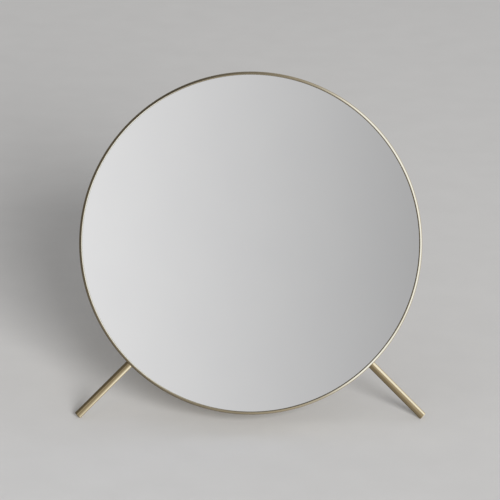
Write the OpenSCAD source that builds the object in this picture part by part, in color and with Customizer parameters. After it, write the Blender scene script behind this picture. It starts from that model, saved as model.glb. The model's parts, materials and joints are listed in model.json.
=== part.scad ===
// Free-standing magnifying mirror: a concave glass in a thin rim, tilting on a tripod of rods.
// The mirror faces -Y and leans back, X runs to the viewer's right and the floor is Z = 0.

/* [Mirror] */
// Diameter over the rim
mirror_d = 220; // [190:5:250]
// Width of the rim as seen from the front
rim_w = 2; // [1.6:0.1:2.6]
// Radius that rounds the rim's outer front edge; its crest lies close to the glass
nose_r = 2.5; // [2.4:0.1:3.2]
// Radius of curvature of the glass, which is twice its focal length
glass_radius = 900; // [750:50:1500]
// Thickness of the glass
glass_t = 3; // [2:0.5:4]
// How far the edge of the glass sits behind the front of the rim
glass_recess = 0.8; // [0.6:0.1:2]
// Width of the front ledge, which carries the glass
glass_ledge_w = 4; // [3:0.5:6]
// Width of the rear ledge, which takes the back plate and its screws
plate_ledge_w = 8; // [7:0.5:12]
// Thickness of both ledges
ledge_t = 1.5; // [1.2:0.1:2]
// Thickness of the gasket between the front ledge and the edge of the glass
gasket_t = 1; // [0.8:0.1:1.5]

/* [Back] */
// Thickness of the back plate
plate_t = 1.5; // [1.3:0.1:2]
// How far the back plate sits inside the back edge of the rim
plate_recess = 0.7; // [0.4:0.1:1.5]
// Number of screws round the back plate
plate_screw_count = 6; // [4:1:10]
// Thread diameter of the back plate screws
plate_screw_d = 2.5; // [2:0.5:3]
// Diameter of the foam pad behind the middle of the glass
foam_d = 80; // [60:5:110]
// Thickness of the foam pad in its middle
foam_t = 2; // [1.5:0.25:4]

/* [Yoke] */
// Thickness of the folded strip that the yoke is made of
yoke_t = 3; // [2.5:0.25:4]
// How far the round ears of the yoke stand out past the hub barrel
ear_margin = 0.5; // [0.3:0.1:2]
// Inside radius of the two folds
fold_r = 0.8; // [0.4:0.1:1]
// Thread diameter of the screws between back plate and yoke
yoke_screw_d = 3; // [2.5:0.5:3]
// Spacing of those screws across the mirror
yoke_screw_dx = 18; // [14:1:22]
// Spacing of those screws along the strip's width
yoke_screw_dy = 11; // [8:1:12]

/* [Tilt pivot] */
// Diameter of the hub barrel
hub_d = 20; // [19:0.5:24]
// Length of the hub barrel
hub_len = 30; // [28:1:40]
// Gap between the hub barrel and the web of the yoke
hub_gap = 1; // [0.6:0.1:3]
// Diameter of the shoulder that each ear turns on
shoulder_d = 6; // [5.5:0.5:7]
// Thread diameter of the pivot screws
pivot_thread_d = 5; // [4:0.5:5]
// Diameter of the pivot screw heads
pivot_head_d = 11; // [10:0.5:12]
// Height of the pivot screw heads
pivot_head_h = 2.5; // [2:0.25:4]
// Gap between the edge of the friction washers and the stop pin
washer_gap = 0.4; // [0.2:0.1:0.8]
// Thickness of the friction washers
friction_washer_t = 0.5; // [0.4:0.1:1]
// Thickness of the sheet that the spring washers are pressed from
spring_washer_t = 0.4; // [0.3:0.05:0.6]
// Height of the cone of the spring washers
spring_washer_cone = 0.3; // [0.2:0.05:0.5]
// How far the middle of the stop pin sits inside the edge of the hub barrel
stop_inset = 2.4; // [2.3:0.05:2.6]
// Diameter of the stop pin
stop_pin_d = 2; // [1.6:0.1:2.2]
// How far the mirror tilts forward from its rest position, in degrees
tilt_forward = 7; // [3:1:7]
// How far the mirror tilts back from its rest position, in degrees
tilt_back = 25; // [10:1:30]

/* [Tripod] */
// Lean of the mirror at rest, from upright, in degrees
lean = 20; // [15:1:25]
// Diameter of the rods
rod_d = 5; // [4:0.5:5.5]
// How far each rod reaches past the rim, measured along it
rod_past_rim = 48.5; // [44:0.5:70]
// Angle between the two front rods, in degrees
front_spread = 90; // [80:1:94]
// Height ground off the lowest corner of each rod, which leaves a small flat foot
foot_cut = 0.6; // [0.4:0.1:1]
// Thread diameter of the grub screws that lock the rods
grub_d = 3; // [2.5:0.5:3]
// Length of the grub screws on the front rods
front_grub_len = 4; // [3:0.5:4]
// Length of the grub screw on the rear rod
rear_grub_len = 5; // [3:0.5:5]

/* [Fits and edges] */
// Radial clearance of the rods and the stop pin in their holes
press_gap = 0.02; // [0.01:0.01:0.04]
// Radial clearance of the ears on the pivot shoulders
run_gap = 0.05; // [0.03:0.01:0.1]
// Clearance between faces that slide, on each side of the ears
slide_gap = 0.05; // [0.03:0.01:0.1]
// Radial clearance of each screw in its hole
screw_gap = 0.05; // [0.03:0.01:0.1]
// Clearance of the stop pin in its slot
slot_gap = 0.15; // [0.1:0.05:0.2]
// Gap round the edges of glass, gasket and back plate
edge_gap = 0.1; // [0.05:0.05:0.3]
// Chamfer on turned and cut edges
edge = 0.3; // [0.2:0.05:0.4]

/* [Hidden] */
$fn = 96;

BRASS = [0.74, 0.65, 0.49];
STEEL = [0.70, 0.70, 0.68];
SILVER = [0.86, 0.87, 0.87];
RUBBER = [0.16, 0.16, 0.16];
FOAM = [0.30, 0.30, 0.31];
NYLON = [0.90, 0.89, 0.85];

// Depths below are measured backwards from the front of the rim
mirror_r = mirror_d / 2;
wall_r = mirror_r - rim_w;
// The nose is an arc from the rim's outside to its crest, which is the outer corner of a chamfer
nose_offset = nose_r - rim_w + edge;
nose_n = sqrt(pow(nose_r, 2) - pow(nose_offset, 2));
glass_r = wall_r - edge_gap;
glass_sag = glass_radius - sqrt(pow(glass_radius, 2) - pow(glass_r, 2));
glass_ledge_n = glass_recess + glass_t + gasket_t;
curve_centre_n = glass_recess + glass_sag - glass_radius;
plate_front_n = glass_recess + glass_sag + glass_t + foam_t;
plate_back_n = plate_front_n + plate_t;
frame_depth = plate_back_n + plate_recess;
plate_r = wall_r - edge_gap;
plate_screw_r = wall_r - plate_ledge_w / 2;
// Circles of the curved glass need many more segments than the small parts
glass_fn = 1440;

// Countersunk heads are 90 degree cones; these are their size and socket as shares of the thread
head_ratio = 1.9;
socket_ratio = 0.64;
socket_depth_ratio = 0.45;
// The plate screws come out past their ledge and the yoke screws end inside the web
screw_past = 0.4;
screw_short = 0.2;
plate_screw_len = plate_t + ledge_t + screw_past;
yoke_screw_len = plate_t + yoke_t - screw_short;

// Pivot stack, outwards from the middle of the hub
hub_r = hub_d / 2;
ear_in_x = hub_len / 2 + friction_washer_t + slide_gap;
ear_out_x = ear_in_x + yoke_t;
spring_x = ear_out_x + slide_gap;
pivot_head_x = spring_x + spring_washer_t + spring_washer_cone;
pivot_head_end_x = pivot_head_x + pivot_head_h;
pivot_thread_len = 6.5;
thread_run_out = 0.5;
pivot_socket_depth = 0.6 * pivot_head_h;
spring_washer_r = pivot_head_d / 2 - edge;
web_back_n = plate_back_n + yoke_t;
pivot_n = web_back_n + hub_gap + hub_r;
ear_r = hub_r + ear_margin;
stop_r = hub_r - stop_inset;
friction_washer_r = stop_r - stop_pin_d / 2 - washer_gap;
slot_w = stop_pin_d + 2 * slot_gap;
// The groove of the slot is this much narrower than the holes at its ends
groove_step = 0.1;
slot_from = 90 - tilt_forward;
slot_sweep = tilt_forward + tilt_back;
stop_pin_depth = 5;
stop_pin_end_x = ear_out_x - edge;

// Tripod
rod_r = rod_d / 2;
rod_reach = mirror_r + rod_past_rim;
// Metal left between the hub's middle and the end of each front rod's hole, past the rod's radius
front_rod_web = 3;
front_rod_start = rod_r + front_rod_web;
rear_rod_start = 1;
// All rods stand at the same angle from the vertical
rod_slope = acos(cos(front_spread / 2) * cos(lean));
hub_z = rod_reach * cos(rod_slope) + rod_r * sin(rod_slope) - foot_cut;
// Front and back ends of the part, from the hub, so that the origin is under its middle
front_angle = max(lean, asin(nose_offset / nose_r));
front_end_r = mirror_r - nose_r + nose_r * sin(front_angle);
front_end_n = nose_n - nose_r * cos(front_angle);
front_end_y = -front_end_r * sin(lean) + (front_end_n - pivot_n) * cos(lean);
back_end_y = rod_reach * sin(rod_slope) + (rod_r - edge) * cos(rod_slope);
hub_y = -(front_end_y + back_end_y) / 2;
// Where the grub screws meet the rods, from the hub's middle
front_grub_at = hub_r;
rear_grub_at = 5.5;

// The hub's own place, with world axes
module at_hub() {
    translate([0, hub_y, hub_z]) children();
}

// Mirror frame at the hub: x to the right, y down the mirror, z straight back
module at_pivot() {
    at_hub() rotate([-90 - lean, 0, 0]) children();
}

// Mirror frame with z = 0 at the front of the rim
module at_rim() {
    at_pivot() translate([0, 0, -pivot_n]) children();
}

// Turns +z into +x for side = 1 and into -x for side = -1
module sideways(side) {
    rotate([0, 90 * side, 0]) children();
}

// Round bar from z = from to z = to, chamfered at both ends
module bar(r, from, to, c = edge) {
    rotate_extrude() polygon([
        [0, from],
        [r - c, from],
        [r, from + c],
        [r, to - c],
        [r - c, to],
        [0, to]
    ]);
}

// Countersunk screw with its head flush at z = 0, pointing to +z
module countersunk_screw(d, len) {
    head_r = head_ratio * d / 2;
    difference() {
        rotate_extrude() polygon([
            [0, 0],
            [head_r, 0],
            [d / 2, head_r - d / 2],
            [d / 2, len - edge],
            [d / 2 - edge, len],
            [0, len]
        ]);
        translate([0, 0, -1])
            cylinder(d = socket_ratio * d, h = 1 + socket_depth_ratio * d, $fn = 6);
    }
}

// Hole that such a screw sinks into
module countersunk_hole(d, len) {
    head_r = head_ratio * d / 2 + screw_gap;
    shank_r = d / 2 + screw_gap;
    rotate_extrude() polygon([
        [0, -1],
        [head_r, -1],
        [head_r, 0],
        [shank_r, head_r - shank_r],
        [shank_r, len],
        [0, len]
    ]);
}

module at_plate_screws() {
    for (i = [0 : plate_screw_count - 1])
        rotate([0, 0, (i + 0.5) * 360 / plate_screw_count])
            translate([plate_screw_r, 0, 0]) children();
}

module at_yoke_screws() {
    for (x = [-1, 1], y = [-1, 1])
        translate([x * yoke_screw_dx / 2, y * yoke_screw_dy / 2, 0]) children();
}

// Directions of the rods: z runs out along the rod
module along_front_rod(side) {
    at_pivot() rotate([-90, 0, -side * front_spread / 2]) children();
}

module along_rear_rod() {
    at_hub() rotate([rod_slope - 180, 0, 0]) children();
}

module rod(start) {
    bar(rod_r, start, rod_reach);
}

module below_floor() {
    reach = 4 * rod_reach;
    translate([-reach / 2, -reach / 2, -reach]) cube(reach);
}

// Axis of each rod's grub screw: z runs out of the hub, from the rod's axis
module at_front_grub(side) {
    along_front_rod(side) translate([0, 0, front_grub_at]) rotate([-90, 0, 0]) children();
}

module at_rear_grub() {
    along_rear_rod() translate([0, 0, rear_grub_at]) rotate([-90, 0, 0]) children();
}

module grub_screw(len) {
    difference() {
        bar(grub_d / 2, rod_r + screw_gap, rod_r + len);
        translate([0, 0, rod_r + len / 2])
            cylinder(d = grub_d / 2, h = len, $fn = 6);
    }
}

module pivot_hub() {
    thread_end = hub_len / 2 - pivot_thread_len - thread_run_out;
    color(BRASS) difference() {
        at_pivot() sideways(1) bar(hub_r, -hub_len / 2, hub_len / 2, 2 * edge);
        for (side = [-1, 1]) {
            along_front_rod(side) translate([0, 0, front_rod_start - press_gap])
                cylinder(r = rod_r + press_gap, h = hub_len);
            at_front_grub(side) cylinder(r = grub_d / 2 + screw_gap, h = hub_d);
            at_pivot() sideways(side) translate([0, 0, thread_end])
                cylinder(r = pivot_thread_d / 2 + screw_gap, h = hub_len);
        }
        along_rear_rod() translate([0, 0, rear_rod_start - press_gap])
            cylinder(r = rod_r + press_gap, h = hub_len);
        at_rear_grub() cylinder(r = grub_d / 2 + screw_gap, h = hub_d);
        at_pivot() translate([hub_len / 2 - stop_pin_depth - press_gap, 0, stop_r]) sideways(1)
            cylinder(r = stop_pin_d / 2 + press_gap, h = hub_len);
    }
}

module front_leg(side) {
    color(BRASS) difference() {
        along_front_rod(side) rod(front_rod_start);
        below_floor();
    }
}

module rear_leg() {
    color(BRASS) difference() {
        along_rear_rod() rod(rear_rod_start);
        below_floor();
    }
}

module leg_grub_screws() {
    color(STEEL) {
        for (side = [-1, 1]) at_front_grub(side) grub_screw(front_grub_len);
        at_rear_grub() grub_screw(rear_grub_len);
    }
}

module pivot_screw(side) {
    hub_end = hub_len / 2;
    thread_r = pivot_thread_d / 2;
    head_r = pivot_head_d / 2;
    color(BRASS) at_pivot() sideways(side) difference() {
        rotate_extrude() polygon([
            [0, hub_end - pivot_thread_len],
            [thread_r - edge, hub_end - pivot_thread_len],
            [thread_r, hub_end - pivot_thread_len + edge],
            [thread_r, hub_end],
            [shoulder_d / 2, hub_end],
            [shoulder_d / 2, pivot_head_x],
            [head_r, pivot_head_x],
            [head_r, pivot_head_end_x - edge],
            [head_r - edge, pivot_head_end_x],
            [0, pivot_head_end_x]
        ]);
        translate([0, 0, pivot_head_end_x - pivot_socket_depth])
            cylinder(d = socket_ratio * pivot_thread_d, h = pivot_head_h, $fn = 6);
    }
}

module friction_washer(side) {
    color(NYLON) at_pivot() sideways(side) translate([0, 0, hub_len / 2]) difference() {
        cylinder(r = friction_washer_r, h = friction_washer_t);
        translate([0, 0, -1])
            cylinder(r = shoulder_d / 2 + run_gap, h = friction_washer_t + 2);
    }
}

// A conical washer: its outer edge bears on the ear and its inner edge on the screw head
module spring_washer(side) {
    inner_r = shoulder_d / 2 + run_gap;
    color(STEEL) at_pivot() sideways(side) translate([0, 0, spring_x]) rotate_extrude() polygon([
        [spring_washer_r, 0],
        [spring_washer_r, spring_washer_t],
        [inner_r, spring_washer_t + spring_washer_cone],
        [inner_r, spring_washer_cone]
    ]);
}

module tilt_stop_pin() {
    color(STEEL) at_pivot() translate([0, 0, stop_r]) sideways(1)
        bar(stop_pin_d / 2, hub_len / 2 - stop_pin_depth, stop_pin_end_x);
}

// Rolled and welded section: a wall with a rounded front and two inner ledges
module frame_ring() {
    color(BRASS) at_rim() difference() {
        rotate_extrude() {
            intersection() {
                translate([mirror_r - nose_r, nose_n]) circle(nose_r);
                translate([wall_r + edge, -1]) square([rim_w, nose_n + 1]);
            }
            polygon([
                [wall_r, edge],
                [wall_r + edge, 0],
                [mirror_r, nose_n],
                [mirror_r, frame_depth - edge],
                [mirror_r - edge, frame_depth],
                [wall_r + edge, frame_depth],
                [wall_r, frame_depth - edge],
                [wall_r, plate_front_n],
                [wall_r - plate_ledge_w, plate_front_n],
                [wall_r - plate_ledge_w, plate_front_n - ledge_t],
                [wall_r, plate_front_n - ledge_t],
                [wall_r, glass_ledge_n + ledge_t],
                [wall_r - glass_ledge_w, glass_ledge_n + ledge_t],
                [wall_r - glass_ledge_w, glass_ledge_n],
                [wall_r, glass_ledge_n]
            ]);
        }
        at_plate_screws() translate([0, 0, plate_front_n - ledge_t - 1])
            cylinder(r = plate_screw_d / 2 + screw_gap, h = ledge_t + 2);
    }
}

module mirror_glass() {
    color(SILVER) at_rim() rotate_extrude($fn = 180) intersection() {
        translate([0, curve_centre_n]) difference() {
            circle(glass_radius + glass_t, $fn = glass_fn);
            circle(glass_radius, $fn = glass_fn);
        }
        square([glass_r, 2 * frame_depth]);
    }
}

// Depth of the back of the glass at a distance r from its middle
function glass_back_n(r) = curve_centre_n + sqrt(pow(glass_radius + glass_t, 2) - r * r);

// Ring of a section that follows the back of the glass and sits flat on what is behind it
module glass_backing(from_r, to_r, back_n, steps) {
    rotate_extrude($fn = 180) polygon(concat(
        [for (i = [0 : steps]) let (r = from_r + (to_r - from_r) * i / steps)
            [r, glass_back_n(r) + slide_gap]],
        [[to_r, back_n], [from_r, back_n]]
    ));
}

module glass_gasket() {
    color(RUBBER) at_rim() glass_backing(wall_r - glass_ledge_w + edge, glass_r, glass_ledge_n, 1);
}

module foam_pad() {
    color(FOAM) at_rim() glass_backing(0, foam_d / 2, plate_front_n, 8);
}

module back_plate() {
    color(BRASS) at_rim() difference() {
        bar(plate_r, plate_front_n, plate_back_n);
        at_plate_screws() translate([0, 0, plate_back_n]) rotate([180, 0, 0])
            countersunk_hole(plate_screw_d, plate_t + 1);
        at_yoke_screws() translate([0, 0, plate_front_n])
            countersunk_hole(yoke_screw_d, plate_t + 1);
    }
}

module back_plate_screws() {
    color(BRASS) at_rim() at_plate_screws() translate([0, 0, plate_back_n]) rotate([180, 0, 0])
        countersunk_screw(plate_screw_d, plate_screw_len);
}

module yoke_screws() {
    color(STEEL) at_rim() at_yoke_screws() translate([0, 0, plate_front_n])
        countersunk_screw(yoke_screw_d, yoke_screw_len);
}

// Outline of a channel of half width x and depth h, with its two lower corners rounded
module channel_outline(x, h, r) {
    translate([-x, r]) square([2 * x, h - r]);
    translate([-(x - r), 0]) square([2 * (x - r), r + 1]);
    for (side = [-1, 1]) translate([side * (x - r), r]) circle(r);
}

// Side view of the yoke, from the back plate to the round end of the ears
module ear_outline() {
    translate([0, pivot_n]) circle(ear_r);
    translate([-ear_r, 0]) square([2 * ear_r, pivot_n]);
}

// A strip folded to a U: the web lies on the back plate and the ears carry the pivot
module yoke() {
    ear_h = pivot_n + 2 * ear_r - plate_back_n;
    color(BRASS) at_rim() difference() {
        intersection() {
            translate([0, 2 * ear_r, plate_back_n]) rotate([90, 0, 0]) linear_extrude(4 * ear_r)
                difference() {
                    channel_outline(ear_out_x, ear_h, fold_r + yoke_t);
                    translate([0, yoke_t]) channel_outline(ear_in_x, ear_h, fold_r);
                }
            translate([-2 * ear_out_x, 0, 0]) rotate([90, 0, 90])
                linear_extrude(4 * ear_out_x) ear_outline();
        }
        at_yoke_screws() cylinder(r = yoke_screw_d / 2 + screw_gap, h = pivot_n);
        translate([-2 * ear_out_x, 0, pivot_n]) sideways(1)
            cylinder(r = shoulder_d / 2 + run_gap, h = 4 * ear_out_x);
        translate([hub_len / 2, 0, pivot_n]) rotate([90, 0, 90]) stop_slot();
    }
}

// Curved slot that the stop pin runs in: a hole at each end, and a milled groove between them
module stop_slot() {
    depth = hub_len / 2;
    groove_w = slot_w - groove_step;
    rotate([0, 0, slot_from]) {
        rotate_extrude(angle = slot_sweep)
            translate([stop_r - groove_w / 2, 0]) square([groove_w, depth]);
        for (a = [0, slot_sweep]) rotate([0, 0, a])
            translate([stop_r, 0, 0]) cylinder(d = slot_w, h = depth);
    }
}

pivot_hub();
front_leg(-1);  // front_leg_left
front_leg(1);  // front_leg_right
rear_leg();
leg_grub_screws();
pivot_screw(-1);  // pivot_screw_left
pivot_screw(1);  // pivot_screw_right
friction_washer(-1);  // friction_washer_left
friction_washer(1);  // friction_washer_right
spring_washer(-1);  // spring_washer_left
spring_washer(1);  // spring_washer_right
tilt_stop_pin();
frame_ring();
mirror_glass();
glass_gasket();
foam_pad();
back_plate();
back_plate_screws();
yoke();
yoke_screws();
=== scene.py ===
# %% [markdown]
# # A magnifying mirror on three brass rods
#
# The mirror is a shallow glass bowl in a thin brass rim. It tilts on a small hub, and three straight
# rods run from the hub to the table. The packed model already holds every part at its real size.
# Here the parts that catch the eye are modelled again with finer curves and softened edges, and every
# surface gets its finish. Lengths are in metres, so real sizes are written with MM.

# %% Load the packed model
import json
from math import asin, cos, hypot, pi, radians, sin, sqrt

import bmesh
import bpy
from mathutils import Matrix, Vector


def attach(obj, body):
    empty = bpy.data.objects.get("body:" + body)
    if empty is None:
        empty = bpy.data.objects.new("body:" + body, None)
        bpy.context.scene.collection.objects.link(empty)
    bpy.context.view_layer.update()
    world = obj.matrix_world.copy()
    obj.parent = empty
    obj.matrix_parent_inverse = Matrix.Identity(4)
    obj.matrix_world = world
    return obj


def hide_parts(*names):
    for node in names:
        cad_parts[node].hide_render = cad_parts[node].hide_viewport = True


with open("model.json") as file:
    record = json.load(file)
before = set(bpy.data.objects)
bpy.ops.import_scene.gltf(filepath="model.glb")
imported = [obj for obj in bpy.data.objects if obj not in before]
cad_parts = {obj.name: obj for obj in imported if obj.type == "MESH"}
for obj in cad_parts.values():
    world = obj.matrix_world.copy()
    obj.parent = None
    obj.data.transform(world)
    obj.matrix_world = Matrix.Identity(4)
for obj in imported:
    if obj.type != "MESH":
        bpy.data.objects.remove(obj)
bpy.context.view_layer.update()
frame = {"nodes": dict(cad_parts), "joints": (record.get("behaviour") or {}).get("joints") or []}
MM = 0.001

# %% [markdown]
# ## The mirror's own axes
#
# The mirror leans back by 20 degrees, so the room's axes don't suit it. It is easier to work in the
# mirror's own axes: x to the right, y down the glass and z straight back, with z = 0 at the front of
# the rim. The tilt axis comes from the joint, and the distance from there to the front of the rim is
# measured on the rim itself, so that this script can't drift away from the part.

# %% Find the tilt axis and the front of the rim
LEAN = radians(20)
pivot = Vector(frame["joints"][0]["pos_m"])
PIVOT_AXES = Matrix.Translation(pivot) @ Matrix.Rotation(-pi / 2 - LEAN, 4, "X")


def seen_from(axes, node):
    """The corners of a node's mesh in other axes."""
    back = axes.inverted()
    return [back @ v.co for v in frame["nodes"][node].data.vertices]


rim_points = seen_from(PIVOT_AXES, "frame_ring")
PIVOT_DEPTH = -min(p.z for p in rim_points)
MIRROR_R = max(hypot(p.x, p.y) for p in rim_points)
FRAME_DEPTH = max(p.z for p in rim_points) + PIVOT_DEPTH
RIM_AXES = PIVOT_AXES @ Matrix.Translation((0, 0, -PIVOT_DEPTH))
print("mirror radius, depth of the frame and of the tilt axis, in mm:",
      [round(v / MM, 2) for v in (MIRROR_R, FRAME_DEPTH, PIVOT_DEPTH)])

# %% [markdown]
# ## Working by hand in code
#
# The modelling below uses the same operators as a person at the screen: add a primitive, go into edit
# mode, select, extrude, spin, bevel. An operator works on what is selected, so each step starts with
# everything deselected and then selects edges by where they lie.

# %% Selecting and editing
NEAR = 0.02 * MM
BEVEL_STEPS = 3


def clear_selection():
    """Object mode with nothing selected, before a new piece is added."""
    if bpy.context.object and bpy.context.object.mode != "OBJECT":
        bpy.ops.object.mode_set(mode="OBJECT")
    bpy.ops.object.select_all(action="DESELECT")


def start_editing(kind):
    """Edit mode on the active object, with nothing selected, to work on each VERT or EDGE."""
    bpy.ops.object.mode_set(mode="EDIT")
    bpy.ops.mesh.select_mode(type=kind)
    bpy.ops.mesh.select_all(action="DESELECT")


def pick_edges(test):
    """Selects the edges of the mesh being edited that pass a test, and counts them."""
    mesh = bmesh.from_edit_mesh(bpy.context.object.data)
    chosen = [edge for edge in mesh.edges if test(edge)]
    for edge in chosen:
        edge.select_set(True)
    mesh.select_flush_mode()
    bmesh.update_edit_mesh(bpy.context.object.data)
    return len(chosen)


def end_editing():
    bpy.ops.object.mode_set(mode="OBJECT")


def near(value, target):
    return abs(value - target) < NEAR


print("edges are picked to within", round(NEAR / MM, 2), "mm")

# %% [markdown]
# A finished piece keeps its place in its mesh, so that its object sits at the origin like those of the
# packed parts. Gentle edges are smoothed and sharp ones stay sharp.

# %% Naming and placing a finished piece
SMOOTH_BELOW = radians(30)


def settle(name, axes):
    """Names the finished piece, bakes its place into its mesh and smooths its gentle edges."""
    piece = bpy.context.object
    piece.name = piece.data.name = name
    piece.matrix_world = axes @ piece.matrix_world
    bpy.ops.object.transform_apply(location=True, rotation=True, scale=True)
    bpy.ops.object.shade_smooth_by_angle(angle=SMOOTH_BELOW)
    print(name, "has", len(piece.data.polygons), "faces")
    return piece


# %% [markdown]
# ## Shader sums in plain Python
#
# A finish is mostly arithmetic on patterns: a little noise, stretched one way, added to a roughness.
# Written as nodes this soon becomes a tangle, so a small class wraps a socket and lets Python's own
# operators add the Math nodes. Everything else goes through one method that makes any node.

# %% A wrapped socket


class Wire:
    """An output socket that can be added, multiplied and so on."""

    def __init__(self, bench, socket):
        self.bench = bench
        self.socket = socket

    def sum_of(self, operation, first, second):
        return self.bench.make("Math", {"operation": operation}, {0: first, 1: second})["Value"]

    def __add__(self, other):
        return self.sum_of("ADD", self, other)

    def __sub__(self, other):
        return self.sum_of("SUBTRACT", self, other)

    def __mul__(self, other):
        return self.sum_of("MULTIPLY", self, other)

    def __truediv__(self, other):
        return self.sum_of("DIVIDE", self, other)

    def __pow__(self, other):
        return self.sum_of("POWER", self, other)

    def __rsub__(self, other):
        return self.sum_of("SUBTRACT", other, self)

    def __rtruediv__(self, other):
        return self.sum_of("DIVIDE", other, self)

    def __rpow__(self, other):
        return self.sum_of("POWER", other, self)

    __radd__ = __add__
    __rmul__ = __mul__


print("a wire takes + - * / and ** from either side")

# %% [markdown]
# A bench is the node tree of one finish, or of the room's light. A node's settings are made first,
# because they decide which sockets it shows, and then the values and wires of its sockets.

# %% A bench that makes nodes


class Bench:
    """The node tree of a finish or of the room. make() is the one way in which a node is added."""

    def __init__(self, tree):
        self.tree = tree
        tree.nodes.clear()

    def make(self, kind, settings=None, values=None):
        node = self.tree.nodes.new("ShaderNode" + kind)
        for key, value in (settings or {}).items():
            if key == "stops":
                self.set_stops(node.color_ramp, value)
            else:
                setattr(node, key, value)
        for key, value in (values or {}).items():
            if isinstance(value, Wire):
                self.tree.links.new(value.socket, node.inputs[key])
            else:
                node.inputs[key].default_value = value
        return {out.name: Wire(self, out) for out in node.outputs if out.enabled}

    def set_stops(self, ramp, stops):
        while len(ramp.elements) < len(stops):
            ramp.elements.new(1.0)
        for element, (place, shade) in zip(ramp.elements, stops):
            element.position = place
            element.color = (*shade, 1.0)

    def blend(self, mask, first, second):
        """A colour that goes from first to second as mask goes from 0 to 1."""
        return self.make("Mix", {"data_type": "RGBA"},
                         {"Factor": mask, "A": first, "B": second})["Result"]

    def place(self, axes):
        """Object coordinates as seen from other axes."""
        here = self.make("TexCoord")["Object"]
        return self.make("Mapping", {"vector_type": "TEXTURE"}, {
            "Vector": here,
            "Location": axes.to_translation(),
            "Rotation": axes.to_euler(),
        })["Vector"]

    def noise(self, vector, detail=2.0, scale=1.0):
        return self.make("TexNoise", {"normalize": True},
                         {"Vector": vector, "Scale": scale, "Detail": detail})["Fac"]


print("a bench has", [name for name in vars(Bench) if not name.startswith("_")])

# %% [markdown]
# Colours are written as they show on screen, because that is how they are read off a picture. Shaders
# count in light, so one helper turns the first into the second. Four more helpers hold what finishes
# share: how one starts, how one ends, how a pattern makes dents and how it moves a level up and down.

# %% Colours as they show on screen
SCREEN_WHITE = 255
DARK_END = 0.04045
DARK_SLOPE = 12.92
OFFSET = 0.055
GAMMA = 2.4


def colour(red, green, blue):
    """A colour given as it shows on screen, from 0 to 255, turned to the light that it stands for."""
    def linear(value):
        share = value / SCREEN_WHITE
        return share / DARK_SLOPE if share <= DARK_END else ((share + OFFSET) / (1 + OFFSET)) ** GAMMA
    return (linear(red), linear(green), linear(blue), 1.0)


print("middle grey on screen is", round(colour(128, 128, 128)[0], 3), "of the light of white")

# %% How a finish starts and ends


def new_finish(name):
    material = bpy.data.materials.new(name)
    material.use_nodes = True
    print("finish:", name)
    return material, Bench(material.node_tree)


def finish_with(bench, values):
    """The Principled surface that ends each finish of the mirror."""
    surface = bench.make("BsdfPrincipled", None, values)["BSDF"]
    bench.make("OutputMaterial", None, {"Surface": surface})


def bumped(bench, height, strength, distance):
    return bench.make("Bump", None, {
        "Height": height, "Strength": strength, "Distance": distance})["Normal"]


def between(mask, least, most):
    """A level that goes from least to most as mask goes from 0 to 1."""
    return least + mask * (most - least)


print("halfway between 0.2 and 0.4 lies", round(between(0.5, 0.2, 0.4), 2))

# %% [markdown]
# ## Satin brass
#
# The rods and the rim are brass with a satin finish: fine scratches that all run one way, along a
# drawn rod or round a rolled rim. The scratches hardly show as lines. They show as a soft, stretched
# highlight and a slightly uneven sheen. So the same stretched noise goes weakly into the height and
# the roughness, and a slow noise tints the metal, as handled brass is never of one even colour. The
# rolled strip of the rim is a little paler than the drawn rods. A thin clear coat stands for the
# lacquer that keeps brass from turning brown. Metal turns white where it is seen almost edge-on.
# Satin brass does so less than polished brass, so its specular tint is a dull brass.

# %% Colours of the brass
BRASS = colour(171, 154, 121)
BRASS_DEEP = colour(158, 140, 105)
PALE_BRASS = colour(170, 159, 134)
PALE_BRASS_DEEP = colour(160, 146, 120)
BRASS_EDGE = (0.60, 0.56, 0.49, 1.0)
for word, metal in (("rods", BRASS), ("rim", PALE_BRASS)):
    print("brass of the", word, "reflects", [round(part, 2) for part in metal[:3]])

# %% Patterns that run along a rod or round an axis
GRAIN = 0.12 * MM
LINE_RUN = 60 * MM
RING_RADIUS = 110 * MM
SLANT = 0.37


def along(bench, axes):
    """A pattern space whose lines run along z: fine across, long along."""
    place = bench.place(axes)
    return bench.make("VectorMath", {"operation": "MULTIPLY"},
                      {0: place, 1: (1 / GRAIN, 1 / GRAIN, 1 / LINE_RUN)})["Vector"]


def around(bench, axes, grain=GRAIN, run=LINE_RUN, radius=RING_RADIUS):
    """A pattern space whose lines run round the z axis."""
    place = bench.make("SeparateXYZ", None, {"Vector": bench.place(axes)})
    x, y, z = place["X"], place["Y"], place["Z"]
    reach = (x * x + y * y) ** 0.5
    turn = radius / run
    return bench.make("CombineXYZ", None, {
        "X": x / (reach + grain) * turn + z / grain,
        "Y": y / (reach + grain) * turn + z / grain * SLANT,
        "Z": reach / grain,
    })["Vector"]


print("lines", round(GRAIN / MM, 2), "mm wide and about", round(LINE_RUN / MM), "mm long")

# %% Brass whose fine lines follow a pattern
CLOUD_SIZE = 14 * MM
CLOUD_IN_TINT = 0.7
SMOOTHEST = 0.11
LINES_IN_ROUGH = 0.10
CLOUD_IN_ROUGH = 0.05
LINE_BUMP = 0.05
LINE_DEPTH = 0.02 * MM
LACQUER = 0.35
LACQUER_ROUGHNESS = 0.12


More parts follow.
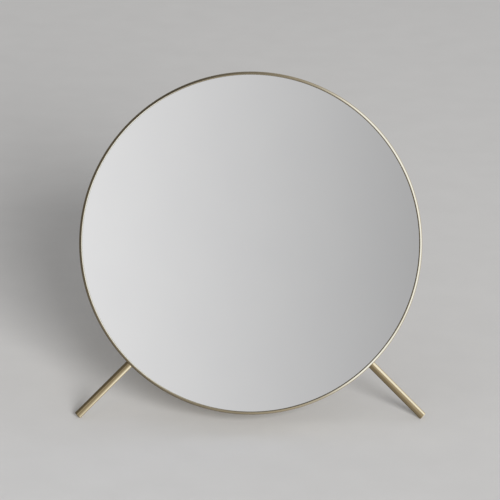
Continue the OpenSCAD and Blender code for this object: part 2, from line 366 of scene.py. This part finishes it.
def satin_brass(name, pattern, axes, base=BRASS, deep=BRASS_DEEP):
    material, bench = new_finish(name)
    lines = bench.noise(pattern(bench, axes), detail=3.0)
    cloud = bench.noise(bench.place(axes), detail=3.0, scale=1 / CLOUD_SIZE)
    tint_mask = cloud * CLOUD_IN_TINT + lines * (1 - CLOUD_IN_TINT)
    finish_with(bench, {
        "Base Color": bench.blend(tint_mask, deep, base),
        "Metallic": 1.0,
        "Specular Tint": BRASS_EDGE,
        "Roughness": SMOOTHEST + lines * LINES_IN_ROUGH + cloud * CLOUD_IN_ROUGH,
        "Coat Weight": LACQUER,
        "Coat Roughness": LACQUER_ROUGHNESS,
        "Normal": bumped(bench, lines, LINE_BUMP, LINE_DEPTH),
    })
    return material


print("roughness from", SMOOTHEST, "to", round(SMOOTHEST + LINES_IN_ROUGH + CLOUD_IN_ROUGH, 2))

# %% [markdown]
# ## The silvered glass
#
# A mirror is a sheet of clear glass with silver on its back. Seen from the front it is the silver that
# counts, so the face is a nearly perfect metal, and its grey stands for the little light that the
# glass in front takes away. The back is covered with protective paint. The edge is hidden in the rim,
# so it needs no finish of its own.

# %% The silvered face
SILVER = (colour(231, 231, 232), colour(235, 235, 235))
SILVER_ROUGHNESS = (0.012, 0.024)
HAZE_SIZE = 35 * MM


def silvered():
    material, bench = new_finish("silvered_face")
    haze = bench.noise(bench.place(RIM_AXES), detail=4.0, scale=1 / HAZE_SIZE)
    finish_with(bench, {
        "Base Color": bench.blend(haze, *SILVER),
        "Metallic": 1.0,
        "Roughness": between(haze, *SILVER_ROUGHNESS),
    })
    return material


silver = silvered()

# %% The painted back
PAINT = (colour(92, 88, 84), colour(108, 104, 98))
PAINT_ROUGHNESS = (0.5, 0.7)
GRIT_SIZE = 2 * MM


def backing_paint():
    material, bench = new_finish("backing_paint")
    grit = bench.noise(bench.place(RIM_AXES), detail=5.0, scale=1 / GRIT_SIZE)
    finish_with(bench, {
        "Base Color": bench.blend(grit, *PAINT),
        "Roughness": between(grit, *PAINT_ROUGHNESS),
    })
    return material


painted_back = backing_paint()

# %% [markdown]
# ## The rim
#
# The rim is a strip of brass rolled into a ring. Its front is rounded towards the outside, so that its
# crest runs close to the glass as one thin line, and two ledges inside carry the glass and the back
# plate. A lathe-like way suits it: start with a circle, extrude it from corner to corner of the
# section, resizing it where the section steps in or out, and join the last loop to the first. At the
# glass the rim has a flat chamfer. It faces the other way from the rounded front, so it shines where
# the front is dark and is dark where the front shines, which draws a fine line round the glass.

# %% Sizes of the rim and of what it holds
RIM_W = 2 * MM
NOSE_R = 2.5 * MM
NOSE_INSET = 0.8 * MM
LIP = 0.42 * MM
WALL_R = MIRROR_R - RIM_W
GLASS_T = 3 * MM
GLASS_RECESS = 0.8 * MM
GASKET_T = 1 * MM
LEDGE_T = 1.5 * MM
GLASS_LEDGE_W = 4 * MM
PLATE_LEDGE_W = 8 * MM
PLATE_T = 1.5 * MM
PLATE_RECESS = 0.7 * MM
GLASS_LEDGE = GLASS_RECESS + GLASS_T + GASKET_T
PLATE_FRONT = FRAME_DEPTH - PLATE_RECESS - PLATE_T
print("ledges at", round(GLASS_LEDGE / MM, 2), "and", round(PLATE_FRONT / MM, 2), "mm from the front")

# %% The section of the rim, corner by corner
NOSE_STEPS = 14


def arc(centre, radius, start, end, steps):
    """Corners along an arc of the section. Its angles are counted from straight forward, outwards."""
    turns = [start + (end - start) * i / steps for i in range(steps + 1)]
    return [(centre[0] + radius * sin(a), centre[1] - radius * cos(a)) for a in turns]


nose_centre = (MIRROR_R - NOSE_R, sqrt(NOSE_R ** 2 - NOSE_INSET ** 2))
nose_start = asin((WALL_R + LIP - nose_centre[0]) / NOSE_R)
RIM_NOSE = arc(nose_centre, NOSE_R, nose_start, pi / 2, NOSE_STEPS)
CREST = RIM_NOSE[0]
RIM_SECTION = [(WALL_R, CREST[1] + LIP)] + RIM_NOSE + [
    (MIRROR_R, FRAME_DEPTH),
    (WALL_R, FRAME_DEPTH),
    (WALL_R, PLATE_FRONT),
    (WALL_R - PLATE_LEDGE_W, PLATE_FRONT),
    (WALL_R - PLATE_LEDGE_W, PLATE_FRONT - LEDGE_T),
    (WALL_R, PLATE_FRONT - LEDGE_T),
    (WALL_R, GLASS_LEDGE + LEDGE_T),
    (WALL_R - GLASS_LEDGE_W, GLASS_LEDGE + LEDGE_T),
    (WALL_R - GLASS_LEDGE_W, GLASS_LEDGE),
    (WALL_R, GLASS_LEDGE),
]
print("the section has", len(RIM_SECTION), "corners")

# %% A circle drawn through a section
ROUND_STEPS = 256


def ring_through(section):
    """A ring whose section has these corners, each given as radius and depth."""
    first_radius, first_depth = section[0]
    clear_selection()
    bpy.ops.mesh.primitive_circle_add(vertices=ROUND_STEPS, radius=first_radius,
                                      location=(0, 0, first_depth))
    bpy.ops.object.transform_apply(location=True)
    start_editing("EDGE")
    bpy.ops.mesh.select_all(action="SELECT")
    for (radius, depth), (next_radius, next_depth) in zip(section, section[1:]):
        deeper = (0, 0, next_depth - depth)
        wider = next_radius / radius
        bpy.ops.mesh.extrude_edges_move(TRANSFORM_OT_translate={"value": deeper})
        bpy.ops.transform.resize(value=(wider, wider, 1))
    bpy.ops.mesh.select_all(action="DESELECT")
    pick_edges(lambda edge: len(edge.link_faces) == 1)
    bpy.ops.mesh.bridge_edge_loops()
    bpy.ops.mesh.select_all(action="SELECT")
    bpy.ops.mesh.normals_make_consistent(inside=False)


def at_corner(radius, depth):
    """Test for the edges of a ring that lie on one corner of its section."""
    def test(edge):
        return all(near(hypot(v.co.x, v.co.y), radius) and near(v.co.z, depth)
                   for v in edge.verts)
    return test


print("a ring is drawn in", ROUND_STEPS, "steps")

# %% Model the rim and soften its edges
CREST_EDGE = 0.06 * MM
BACK_EDGE = 0.3 * MM
SOFT_EDGES = (
    (CREST_EDGE, [CREST]),
    (BACK_EDGE, [(MIRROR_R, FRAME_DEPTH), (WALL_R, FRAME_DEPTH)]),
)

ring_through(RIM_SECTION)
for width, corners in SOFT_EDGES:
    bpy.ops.mesh.select_all(action="DESELECT")
    count = sum(pick_edges(at_corner(*corner)) for corner in corners)
    bpy.ops.mesh.bevel(offset=width, segments=BEVEL_STEPS)
    print("softened", count, "edges by", round(width / MM, 2), "mm")
end_editing()
rim = settle("rim", RIM_AXES)
rim.data.materials.append(satin_brass("rim_brass", around, RIM_AXES, PALE_BRASS, PALE_BRASS_DEEP))
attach(rim, "head")
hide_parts("frame_ring")

# %% [markdown]
# ## The glass
#
# The glass is what makes the mirror magnify: its front is part of a ball of 900 mm radius, hollow
# towards the viewer, and its back runs parallel to it. A spin makes exactly this form. A small plane
# merged at its centre gives one point. Spun about the centre of the curve, it draws the arc of the
# front. The line goes on along the edge, which is a hair's breadth hollow and hidden in the rim, and
# the same kind of spin draws the back. One more spin, about the mirror's axis, turns the whole section
# into glass. The section lies to the left of the axis, so a step to the right goes inwards. The depth
# of the hollow is measured close to the rim's wall, and both faces end just before that.

# %% Sizes of the glass
SAG_GAP = 0.03 * MM
EDGE_STEP = 0.07 * MM
SAG_R = WALL_R - SAG_GAP
FACE_R = SAG_R - EDGE_STEP
FRONT_CURVE = 900 * MM
BACK_CURVE = FRONT_CURVE + GLASS_T
GLASS_SAG = FRONT_CURVE - sqrt(FRONT_CURVE ** 2 - SAG_R ** 2)
curve_centre = Vector((0, 0, GLASS_RECESS + GLASS_SAG - FRONT_CURVE))
print("hollow by", round(GLASS_SAG / MM, 2), "mm, both faces reach", round(FACE_R / MM, 2), "mm")

# %% Spin the section of the glass
ARC_STEPS = 28


def spin_curve(radius, way):
    """Spins the selected point about the centre of the curve, to the edge or, with way -1, back."""
    bpy.ops.mesh.spin(steps=ARC_STEPS, angle=way * asin(FACE_R / radius),
                      center=curve_centre, axis=(0, 1, 0))


def edge_depth(radius):
    """The depth at which a face curved to this radius ends."""
    return curve_centre.z + sqrt(radius ** 2 - FACE_R ** 2)


edge_width = edge_depth(BACK_CURVE) - edge_depth(FRONT_CURVE)
EDGE_STEPS = ((EDGE_STEP, EDGE_STEP), (0, edge_width - 2 * EDGE_STEP), (-EDGE_STEP, EDGE_STEP))

clear_selection()
bpy.ops.mesh.primitive_plane_add(size=MM, location=(0, 0, curve_centre.z + FRONT_CURVE))
start_editing("VERT")
bpy.ops.mesh.select_all(action="SELECT")
bpy.ops.mesh.merge(type="CENTER")
spin_curve(FRONT_CURVE, 1)
for inwards, backwards in EDGE_STEPS:
    step = (inwards, 0, backwards)
    bpy.ops.mesh.extrude_vertices_move(TRANSFORM_OT_translate={"value": step})
spin_curve(BACK_CURVE, -1)
reaches = [v.co.x / MM for v in bmesh.from_edit_mesh(bpy.context.object.data).verts]
print("its section lies between x", round(min(reaches), 2), "and", round(max(reaches), 2), "mm")

# %% Spin the section about the mirror's axis
SAME_PLACE = 0.005 * MM
bpy.ops.mesh.select_all(action="SELECT")
bpy.ops.mesh.spin(steps=ROUND_STEPS, angle=2 * pi, center=(0, 0, 0), axis=(0, 0, 1))
bpy.ops.mesh.select_all(action="SELECT")
bpy.ops.mesh.remove_doubles(threshold=SAME_PLACE)
bpy.ops.mesh.normals_make_consistent(inside=False)
end_editing()
print("the glass has", len(bpy.context.object.data.vertices), "corners")

# %% [markdown]
# The faces are now sorted by the way they look: what looks backwards gets the paint, and the rest is
# silvered.

# %% Give the glass its two finishes
BACK_FINISH = 1
glass = bpy.context.object
for face in glass.data.polygons:
    if face.normal.z > 0:
        face.material_index = BACK_FINISH
glass = settle("glass", RIM_AXES)
for finish in (silver, painted_back):
    glass.data.materials.append(finish)
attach(glass, "head")
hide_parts("mirror_glass")

# %% [markdown]
# ## The rods
#
# Each rod is a plain length of 5 mm drawn brass. Its beauty is in the ends: cut square, with the edge
# just broken, and a tiny flat ground where it meets the table. A cylinder of many sides is bevelled at
# both ends and cut by the table's plane. The three rods differ only in direction and in how far they
# go into the hub. They all reach equally far from the pivot, so the rear rod has to slope as steeply
# as the front ones do. The cut comes last, because the table is level only in the room's own axes.

# %% How to model one rod
ROD_R = 2.5 * MM
ROD_PAST_RIM = 48.5 * MM
ROD_REACH = MIRROR_R + ROD_PAST_RIM
ROD_EDGE = 0.52 * MM
ROD_SIDES = 64
CUT_SLACK = 0.001 * MM


def pointing(direction):
    """Axes at the hub whose z runs along a direction."""
    return Matrix.Translation(pivot) @ direction.to_track_quat("Z", "Y").to_matrix().to_4x4()


def rod(name, node, direction, start):
    axes = pointing(direction)
    clear_selection()
    bpy.ops.mesh.primitive_cylinder_add(vertices=ROD_SIDES, radius=ROD_R, depth=ROD_REACH - start,
                                        location=(0, 0, (ROD_REACH + start) / 2))
    bpy.ops.object.transform_apply(location=True)
    start_editing("EDGE")
    for end in (start, ROD_REACH):
        pick_edges(lambda edge: all(near(v.co.z, end) for v in edge.verts))
    bpy.ops.mesh.bevel(offset=ROD_EDGE, segments=BEVEL_STEPS)
    end_editing()
    piece = settle(name, axes)
    start_editing("VERT")
    bpy.ops.mesh.select_all(action="SELECT")
    bpy.ops.mesh.bisect(plane_co=(0, 0, 0), plane_no=(0, 0, 1), clear_inner=True, use_fill=True,
                        threshold=CUT_SLACK)
    end_editing()
    piece.data.materials.append(satin_brass(name + "_brass", along, axes))
    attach(piece, "stand")
    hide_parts(node)
    print(name, "stands at", round(min(v.co.z for v in piece.data.vertices) / MM, 4), "mm")


print("rods", round(2 * ROD_R / MM, 2), "mm thick end", round(ROD_REACH / MM, 2), "mm from the pivot")

# %% Two rods in front and one behind
HUB_GAP = 3 * MM
FRONT_START = ROD_R + HUB_GAP
REAR_START = 1 * MM
SPREAD = radians(90)
down_glass = RIM_AXES.to_3x3() @ Vector((0, 1, 0))
for side, word in ((-1, "left"), (1, "right")):
    direction = down_glass * cos(SPREAD / 2) + Vector((side * sin(SPREAD / 2), 0, 0))
    rod("rod_" + word, "front_leg_" + word, direction, FRONT_START)
fall = cos(SPREAD / 2) * cos(LEAN)
rod("rod_rear", "rear_leg", Vector((0, sqrt(1 - fall ** 2), -fall)), REAR_START)

# %% [markdown]
# ## Finishes of the parts that stay as they came
#
# The hub, the folded yoke, the screws, the washers, the stop pin, the foam and the gasket have the
# right shape already, so they only get their finishes. The back plate is turned: its lines run in fine
# rings, and broader rings show faintly in the sheen.

# %% The turned back plate
PLATE_BRASS = (colour(149, 135, 107), colour(164, 150, 121))
RINGS = {"grain": 0.4 * MM, "run": 260 * MM}
BANDS = {"grain": 1.6 * MM, "run": 2000 * MM}
BANDS_IN_TINT = 0.6
PATCH_SIZE = 40 * MM
PLATE_SMOOTHEST = 0.42
RINGS_IN_ROUGH = 0.12
BANDS_IN_ROUGH = 0.14
RING_BUMP = 0.25
RING_DEPTH = 0.05 * MM


def turned_plate():
    material, bench = new_finish("turned_back_plate")
    rings = bench.noise(around(bench, RIM_AXES, **RINGS), detail=3.0)
    bands = bench.noise(around(bench, RIM_AXES, **BANDS), detail=2.0)
    patches = bench.noise(bench.place(RIM_AXES), detail=4.0, scale=1 / PATCH_SIZE)
    tint_mask = bands * BANDS_IN_TINT + patches * (1 - BANDS_IN_TINT)
    finish_with(bench, {
        "Base Color": bench.blend(tint_mask, *PLATE_BRASS),
        "Metallic": 1.0,
        "Specular Tint": BRASS_EDGE,
        "Roughness": PLATE_SMOOTHEST + rings * RINGS_IN_ROUGH + bands * BANDS_IN_ROUGH,
        "Normal": bumped(bench, rings, RING_BUMP, RING_DEPTH),
    })
    return material


plate_brass = turned_plate()

# %% [markdown]
# The hub and the pivot screws were turned about the tilt axis, so their lines run round it, and the
# lines of the yoke's sheet run along it. Both follow axes whose z runs sideways through the pivot. The
# steel screws, the spring washers and the stop pin are so small that one finish does for all of them.

# %% Brass of the hub and the yoke
SIDEWAYS = Matrix.Translation(pivot) @ Matrix.Rotation(pi / 2, 4, "Y")
hub_brass = satin_brass("hub_brass", around, SIDEWAYS)
yoke_brass = satin_brass("yoke_brass", along, SIDEWAYS)

# %% Steel of the screws
STEEL = (colour(164, 159, 148), colour(200, 195, 184))
STEEL_ROUGHNESS = (0.24, 0.40)
STEEL_RINGS = {"grain": 0.15 * MM, "run": 10 * MM, "radius": 5 * MM}
STEEL_BUMP = 0.15
STEEL_DEPTH = 0.02 * MM


def turned_steel():
    material, bench = new_finish("screw_steel")
    rings = bench.noise(around(bench, SIDEWAYS, **STEEL_RINGS))
    finish_with(bench, {
        "Base Color": bench.blend(rings, *STEEL),
        "Metallic": 1.0,
        "Roughness": between(rings, *STEEL_ROUGHNESS),
        "Normal": bumped(bench, rings, STEEL_BUMP, STEEL_DEPTH),
    })
    return material


screw_steel = turned_steel()

# %% Nylon, rubber and foam
ROUGH_PLAY = 0.05
SKIN_BUMP = 0.4
PIT_SHARE = 1 / 6


def moulded(name, dark, light, rough, grain):
    """A moulded or foamed plastic with a fine even surface."""
    material, bench = new_finish(name)
    skin = bench.noise(bench.place(RIM_AXES), detail=4.0, scale=1 / grain)
    finish_with(bench, {
        "Base Color": bench.blend(skin, dark, light),
        "Roughness": between(skin, rough - ROUGH_PLAY, rough + ROUGH_PLAY),
        "Normal": bumped(bench, skin, SKIN_BUMP, grain * PIT_SHARE),
    })
    return material


nylon = moulded("nylon", dark=colour(205, 200, 188), light=colour(222, 218, 206),
                rough=0.45, grain=0.6 * MM)
rubber = moulded("gasket_rubber", dark=colour(34, 34, 35), light=colour(48, 48, 49),
                 rough=0.65, grain=0.5 * MM)
foam = moulded("foam", dark=colour(38, 38, 40), light=colour(62, 62, 64),
               rough=0.9, grain=0.8 * MM)

# %% Put the finishes on
DRESS = {
    "pivot_hub": hub_brass,
    "pivot_screw_left": hub_brass,
    "pivot_screw_right": hub_brass,
    "yoke": yoke_brass,
    "back_plate": plate_brass,
    "leg_grub_screws": screw_steel,
    "back_plate_screws": screw_steel,
    "yoke_screws": screw_steel,
    "spring_washer_left": screw_steel,
    "spring_washer_right": screw_steel,
    "tilt_stop_pin": screw_steel,
    "friction_washer_left": nylon,
    "friction_washer_right": nylon,
    "glass_gasket": rubber,
    "foam_pad": foam,
}
for node, finish in DRESS.items():
    slots = frame["nodes"][node].data.materials
    slots.clear()
    slots.append(finish)
print("dressed", len(DRESS), "nodes")

# %% [markdown]
# ## The floor
#
# The mirror stands on a plain pale surface. A plane with a hint of mottle is enough. Its far edge would
# show as a hard line, so the plane turns see-through between two distances from the middle, and the
# pale room takes over. Glossy rays pass through it too, so that no floor edge runs across the brass.

# %% A plane for the floor
FLOOR_SIZE = 12.0
clear_selection()
bpy.ops.mesh.primitive_plane_add(size=FLOOR_SIZE, location=(0, 0, 0))
floor = bpy.context.object
floor.name = "floor"
print("floor", FLOOR_SIZE, "m wide")

# %% Pale paint that fades into the room
FLOOR_GREYS = (colour(200, 199, 198), colour(206, 205, 204))
FLOOR_ROUGHNESS = 0.9
MOTTLE_SIZE = 30 * MM
FADE_START = 0.9
FADE_END = 3.0

floor_paint, bench = new_finish("pale_floor")
here = bench.make("TexCoord")["Object"]
mottle = bench.noise(here, detail=5.0, scale=1 / MOTTLE_SIZE)
matt = bench.make("BsdfPrincipled", None, {
    "Base Color": bench.blend(mottle, *FLOOR_GREYS),
    "Roughness": FLOOR_ROUGHNESS,
    "Specular IOR Level": 0.0,
})["BSDF"]
see_through = bench.make("BsdfTransparent")["BSDF"]
away = bench.make("VectorMath", {"operation": "LENGTH"}, {0: here})["Value"]
faded = bench.make("MapRange", {"interpolation_type": "SMOOTHSTEP"}, {
    "Value": away, "From Min": FADE_START, "From Max": FADE_END})["Result"]
in_gloss = bench.make("LightPath")["Is Glossy Ray"]
bench.make("OutputMaterial", None, {"Surface": bench.make("MixShader", None, {
    0: in_gloss + faded * (1 - in_gloss), 1: matt, 2: see_through})["Shader"]})
floor.data.materials.append(floor_paint)

# %% [markdown]
# ## The room
#
# A mirror shows what is in front of it, so the room matters more here than the lamp. It has three
# faces. The camera sees plain pale grey. Matt surfaces get an even light. Only glossy rays, which glass
# and metal send out, see a gradient: dark to the left and bright to the right. The hollow glass turns
# it round, so the left of the mirror is its light side. The middle of the ramp makes the mirror's
# gradient, and its right end makes the bright edges of the rim and the rods.
#
# The object is also seen from the sides and from behind. A calmer ramp lights what looks backwards,
# and a neutral card stands to the left and to the right of the front, as in a studio. From the side,
# the glass shows a card in place of the bright end of the room. Normally the renderer also aims extra
# rays at the bright parts of a world. That is switched off, since here they are for glossy rays alone.

# %% Levels of the room by how far a direction points to the right
FRONT_ROOM = [
    (-1.0, 0.21),
    (-0.84, 0.22),
    (-0.66, 0.27),
    (-0.48, 0.26),
    (-0.27, 0.33),
    (-0.184, 0.487),
    (0.0, 0.690),
    (0.18, 0.893),
    (0.30, 0.95),
    (0.40, 1.08),
    (0.48, 1.52),
    (0.56, 2.32),
    (0.62, 2.46),
    (0.68, 2.40),
    (0.80, 2.36),
    (0.92, 2.60),
    (1.0, 2.44),
]
BACK_ROOM = [
    (-1.0, 0.20),
    (-0.5, 0.20),
    (-0.2, 0.30),
    (0.0, 0.48),
    (0.2, 0.75),
    (0.5, 1.15),
    (0.85, 1.35),
    (1.0, 1.30),
]
for word, stops in (("front", FRONT_ROOM), ("back", BACK_ROOM)):
    print(word, "room goes from", stops[0][1], "to", stops[-1][1])

# %% A world whose directions can be measured
room = bpy.data.worlds.new("room")
bpy.context.scene.world = room
room.use_nodes = True
room.cycles.sampling_method = "NONE"
bench = Bench(room.node_tree)
direction = bench.make("TexCoord")["Generated"]
way = bench.make("SeparateXYZ", None, {"Vector": direction})


def levels(stops):
    """A level by how far a direction points to the right. A ramp holds only up to 1, so it is scaled."""
    most = max(level for _, level in stops)
    places = [((place + 1) / 2, (level / most,) * 3) for place, level in stops]
    return bench.make("ValToRGB", {"stops": places}, {"Fac": (way["X"] + 1.0) * 0.5})["Color"] * most


def ease(value, span):
    """Goes smoothly from 0 to 1 as a value goes from one end of a span to the other."""
    return bench.make("MapRange", {"interpolation_type": "SMOOTHSTEP"}, {
        "Value": value, "From Min": span[0], "From Max": span[1]})["Result"]


def part_along(axis):
    return bench.make("VectorMath", {"operation": "DOT_PRODUCT"}, {0: direction, 1: axis})["Value"]


def size_of(value):
    return bench.make("Math", {"operation": "ABSOLUTE"}, {0: value})["Value"]


OUT_OF_MIRROR = (0, -cos(LEAN), sin(LEAN))
UP_THE_GLASS = (0, sin(LEAN), cos(LEAN))
facing = part_along(OUT_OF_MIRROR)
upwards = part_along(UP_THE_GLASS)
print("the mirror faces", [round(c, 3) for c in OUT_OF_MIRROR])

# %% Darker overhead and in one corner, lighter over the table
FRONT_BEGINS = (-0.6, -0.15)
OVERHEAD = (0.52, 0.82)
OVERHEAD_SIDE = (0.45, 0.05)
OVERHEAD_DIM = 0.42
CORNER_SIDE = (-0.10, -0.30)
CORNER_RISE = (0.08, 0.28)
CORNER_FRONT = (0.66, 0.84)
CORNER_DIM = 0.30
TABLE_BELOW = (0.0, -0.4)
TABLE_SIDE = (0.0, -0.4)
TABLE_GLOW = 0.7

in_front = ease(facing, FRONT_BEGINS)
overhead = ease(way["Z"], OVERHEAD) * ease(way["X"], OVERHEAD_SIDE)
corner = ease(way["X"], CORNER_SIDE) * ease(upwards, CORNER_RISE) * ease(facing, CORNER_FRONT)
table = ease(way["Z"], TABLE_BELOW) * ease(way["X"], TABLE_SIDE)
shading = 1 - overhead * OVERHEAD_DIM - corner * CORNER_DIM + table * TABLE_GLOW
front_level = levels(FRONT_ROOM) * shading
room_level = front_level * in_front + levels(BACK_ROOM) * (1 - in_front)
print("nodes in the room so far:", len(room.node_tree.nodes))

# %% [markdown]
# The cards leave out the directions that lie as far up or down as they lie aside. The rods run at 45
# degrees, so these are the directions that light them, and they have to keep their bright edges.

# %% A neutral card to the left and to the right
CARD_NEAR = (0.24, 0.36)
CARD_FAR = (0.90, 0.78)
CARD_TOP = (0.32, 0.18)
CARD_FOOT = (-0.52, -0.38)
CARD_SLANT = (0.04, 0.16)
RIGHT_CARD = (0.2, 0.4)
RIGHT_CARD_RISE = 0.08
CARD_LEVEL = 0.95
CARD_FALL = 0.35
CARD_FALL_SPAN = (0.30, 0.90)

aside = size_of(way["X"])
rise = ease(way["X"], RIGHT_CARD) * RIGHT_CARD_RISE
wide = ease(aside, CARD_NEAR) * ease(aside, CARD_FAR)
tall = ease(upwards - rise, CARD_TOP) * ease(upwards, CARD_FOOT)
cards = wide * tall * ease(aside - size_of(upwards), CARD_SLANT) * in_front
card_level = CARD_LEVEL - ease(aside, CARD_FALL_SPAN) * CARD_FALL
level = room_level + (card_level - room_level) * cards
print("cards of level", CARD_LEVEL, "falling to", round(CARD_LEVEL - CARD_FALL, 2))

# %% Warm to the left, cool to the right, and the three faces of the room
WARM = (1.0, 0.96, 0.90, 1.0)
NEUTRAL = (1.0, 1.0, 1.0, 1.0)
COOL = (0.96, 1.11, 1.42, 1.0)
WARM_SIDE = (-0.2, -0.7)
COOL_SIDE = (0.2, 0.7)
PALE_ROOM = 0.52
AMBIENT = 0.45

warmed = bench.blend(ease(way["X"], WARM_SIDE), NEUTRAL, WARM)
tinted = bench.blend(ease(way["X"], COOL_SIDE) * in_front, warmed, COOL)
tint = bench.blend(cards, tinted, NEUTRAL)


def room_light(tone, strength):
    return bench.make("Background", None, {"Color": tone, "Strength": strength})["Background"]


gradient = room_light(tint, level)
plain = room_light((PALE_ROOM, PALE_ROOM, PALE_ROOM, 1.0), 1.0)
even = room_light((AMBIENT, AMBIENT, AMBIENT, 1.0), 1.0)
ray = bench.make("LightPath")
lit = bench.make("MixShader", None, {0: ray["Is Glossy Ray"], 1: even, 2: gradient})["Shader"]
sky = bench.make("MixShader", None, {0: ray["Is Camera Ray"], 1: lit, 2: plain})["Shader"]
bench.make("OutputWorld", None, {"Surface": sky})
print("nodes in the room:", len(room.node_tree.nodes))

# %% [markdown]
# ## The lamp
#
# One soft lamp gives the floor its light and the mirror its shadow. It stands in front, a little to
# the right and high enough for the shadow to fall to the left and behind. The gradient already gives
# glass and metal their highlights, so the lamp is hidden from glossy rays and from the camera. It
# stands far off, so that the floor is lit evenly.

# %% One soft lamp, in front and to the right
LIGHT_PLACE = Vector((2.3, -7.4, 3.0))
LIGHT_SIZE = 2.8
LIGHT_WATTS = 880
lamp = bpy.data.lights.new("soft_light", "AREA")
lamp.shape = "SQUARE"
lamp.size = LIGHT_SIZE
lamp.energy = LIGHT_WATTS
light = bpy.data.objects.new("soft_light", lamp)
bpy.context.scene.collection.objects.link(light)
light.visible_glossy = False
light.visible_camera = False
light.location = LIGHT_PLACE
light.rotation_euler = (pivot - LIGHT_PLACE).to_track_quat("-Z", "Y").to_euler()
print("lamp", round((pivot - LIGHT_PLACE).length, 2), "m away")

# %% [markdown]
# ## The camera
#
# The photograph is taken square on to the mirror: its outline is a circle and both rods are equally
# long. So the camera sits on the mirror's axis, 20 degrees above the table, and far away with a long
# lens. The mirror isn't quite in the middle of the picture, so the camera is moved aside by the
# same share of the mirror's width, and it is rolled by the small angle at which the rods' ends lie.

# %% Where the mirror lies in the picture
PHOTO_PX = 500
MIRROR_PX = 343.6
MIRROR_CENTRE_PX = (250.7, 243.1)
PX = 2 * MIRROR_R / MIRROR_PX
off_x = (PHOTO_PX / 2 - MIRROR_CENTRE_PX[0]) * PX
off_y = (PHOTO_PX / 2 - MIRROR_CENTRE_PX[1]) * PX
print("a pixel is", round(PX / MM, 3), "mm wide at the mirror")
print("the camera moves by", round(off_x / MM, 2), "and", round(off_y / MM, 2), "mm")

# %% The camera on the mirror's axis
CAMERA_AWAY = 2.1
CAMERA_ROLL = radians(0.155)
SENSOR_MM = 36.0
SEES_UP_TO = 50.0
eye = bpy.data.cameras.new("camera")
eye.sensor_width = SENSOR_MM
eye.lens = SENSOR_MM * CAMERA_AWAY / (PHOTO_PX * PX)
eye.clip_end = SEES_UP_TO
camera = bpy.data.objects.new("camera", eye)
bpy.context.scene.collection.objects.link(camera)
camera.location = RIM_AXES @ Vector((off_x, off_y, -CAMERA_AWAY))
upright = Matrix.Rotation(pi / 2 - LEAN, 3, "X")
camera.rotation_euler = (upright @ Matrix.Rotation(CAMERA_ROLL, 3, "Z")).to_euler()
bpy.context.scene.camera = camera
bpy.context.scene.view_settings.view_transform = "Standard"
print("lens", round(eye.lens, 1), "mm, camera at", [round(c, 3) for c in camera.location])

# %% [markdown]
# ## Sizes
#
# The dressed model has to keep the size of the packed one.
